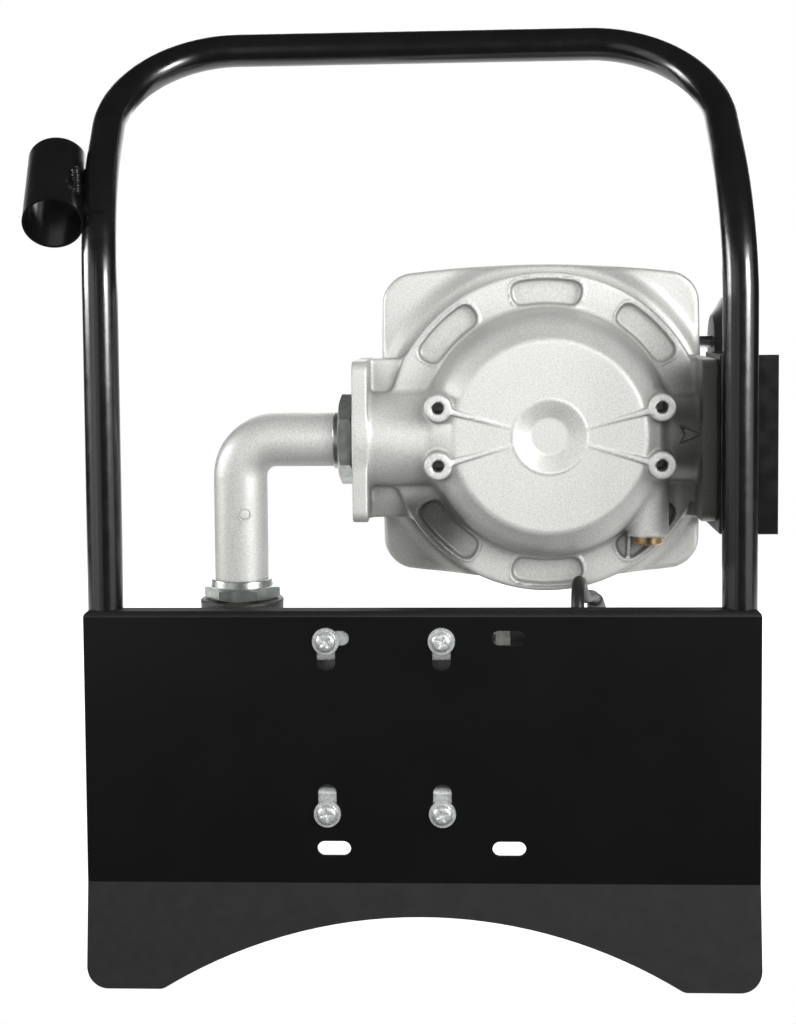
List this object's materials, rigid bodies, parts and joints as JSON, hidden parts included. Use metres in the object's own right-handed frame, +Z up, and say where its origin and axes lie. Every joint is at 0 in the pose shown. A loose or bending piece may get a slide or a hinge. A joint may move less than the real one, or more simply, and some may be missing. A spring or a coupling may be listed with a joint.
{
  "type": "transfer pump",
  "caption": "Portable transfer pump on a tube carrying frame: electric vane pump behind a bent back plate, cast elbow, flow meter with reset knob, and a nozzle holder.",
  "frame": {"origin": "on the floor, at the middle of the footprint's bounding box", "axes": "+Z up, +X along the back plate from the pump end to the outlet, +Y from the back plate towards the dial side"},
  "size_m": [0.4536, 0.2078, 0.5805],
  "materials": {
    "black_paint": "semi-gloss powder coat",
    "black_plate": "satin powder coat",
    "cast_iron_black": "textured black enamel",
    "cast_aluminium": "shot blasted casting",
    "machined_aluminium": "machined",
    "zinc_plate": "bright zinc plate",
    "steel": "ground steel",
    "brass": "turned",
    "black_plastic": "moulded, fine grain",
    "grey_plastic": "moulded",
    "white_plastic": "moulded",
    "red_plastic": "moulded",
    "rubber": "smooth",
    "glass": "clear",
    "copper": "enamelled wire"
  },
  "bodies": {
    "frame": {"back_plate": "black_plate", "ball_bearings": "steel", "box_screws": "zinc_plate", "bypass_cap": "brass", "bypass_spring": "steel", "cable_glands": "black_plastic", "calibration_plug": "brass", "dial_glass": "glass", "dial_plate": "white_plastic", "drive_end_shield": "machined_aluminium", "elbow": "cast_aluminium", "fan_cowl": "black_plastic", "foot_caps": "black_plastic", "foot_rails": "zinc_plate", "handle_tube": "black_paint", "hex_bolts": "zinc_plate", "lead_boot": "grey_plastic", "measuring_chamber": "grey_plastic", "meter_body": "cast_aluminium", "meter_screws": "zinc_plate", "meter_seal": "rubber", "motor_housing": "machined_aluminium", "motor_lead": "rubber", "mounting_nuts": "zinc_plate", "mounting_screws": "zinc_plate", "mounting_washers": "zinc_plate", "nozzle_holder": "black_paint", "outlet_bracket": "black_paint", "pump_body": "cast_iron_black", "pump_cover": "cast_iron_black", "pump_screws": "zinc_plate", "rear_end_shield": "machined_aluminium", "register_case": "cast_aluminium", "register_cover": "cast_aluminium", "register_frame": "zinc_plate", "run_capacitor": "white_plastic", "shaft_seal": "rubber", "stator_core": "steel", "stator_windings": "copper", "switch_box": "black_plastic", "switch_lid": "black_plastic", "terminal_box": "black_plastic", "terminal_lid": "black_plastic", "union_nuts": "zinc_plate"},
    "motor_rotor": {"motor_shaft": "steel", "rotor_core": "steel", "cooling_fan": "grey_plastic", "pump_rotor": "steel", "pump_vanes": "grey_plastic"},
    "meter_rotor": {"meter_disc": "white_plastic", "drive_spindle": "steel"},
    "units_drum": {"units_wheel": "black_plastic"},
    "tens_drum": {"tens_wheel": "black_plastic"},
    "hundreds_drum": {"hundreds_wheel": "black_plastic"},
    "knob_and_shaft": {"reset_knob": "black_plastic", "wheel_shaft": "steel"},
    "rocker": {"rocker_switch": "red_plastic"},
    "breaker": {"breaker_button": "white_plastic"},
    "valve": {"bypass_poppet": "steel"}
  },
  "joints": [
    {"name": "motor_spin", "type": "hinge", "parent": "frame", "child": "motor_rotor", "pos_m": [0.01378, -0.03314, 0.1565], "axis": [1, 0, 0], "continuous": true},
    {"name": "meter_spin", "type": "hinge", "parent": "frame", "child": "meter_rotor", "pos_m": [0.09128, -0.03814, 0.326], "axis": [0, 1, 0], "continuous": true},
    {"name": "units_spin", "type": "hinge", "parent": "frame", "child": "units_drum", "pos_m": [0.08928, 0.03036, 0.3795], "axis": [1, 0, 0], "continuous": true},
    {"name": "tens_spin", "type": "hinge", "parent": "frame", "child": "tens_drum", "pos_m": [0.08928, 0.03036, 0.3795], "axis": [1, 0, 0], "continuous": true},
    {"name": "hundreds_spin", "type": "hinge", "parent": "frame", "child": "hundreds_drum", "pos_m": [0.08928, 0.03036, 0.3795], "axis": [1, 0, 0], "continuous": true},
    {"name": "reset_turn", "type": "hinge", "parent": "frame", "child": "knob_and_shaft", "pos_m": [0.08928, 0.03036, 0.3795], "axis": [1, 0, 0], "continuous": true},
    {"name": "rocker_tip", "type": "hinge", "parent": "frame", "child": "rocker", "pos_m": [0.12478, -0.04614, 0.135], "axis": [1, 0, 0], "range_deg": [0, 20]},
    {"name": "breaker_push", "type": "slide", "parent": "frame", "child": "breaker", "axis": [0, -1, 0], "range_m": [0, 0.0025], "stiffness_N_per_m": 400, "springref_m": -0.001},
    {"name": "bypass_lift", "type": "slide", "parent": "frame", "child": "valve", "axis": [0, 1, 0], "range_m": [0, 0.003], "stiffness_N_per_m": 900, "springref_m": -0.002, "deforming": ["bypass_spring"]}
  ],
  "couplings": [
    {"joint": "units_spin", "follows": "meter_spin", "ratio": 0.05},
    {"joint": "tens_spin", "follows": "meter_spin", "ratio": 0.005},
    {"joint": "hundreds_spin", "follows": "meter_spin", "ratio": 0.0005}
  ]
}
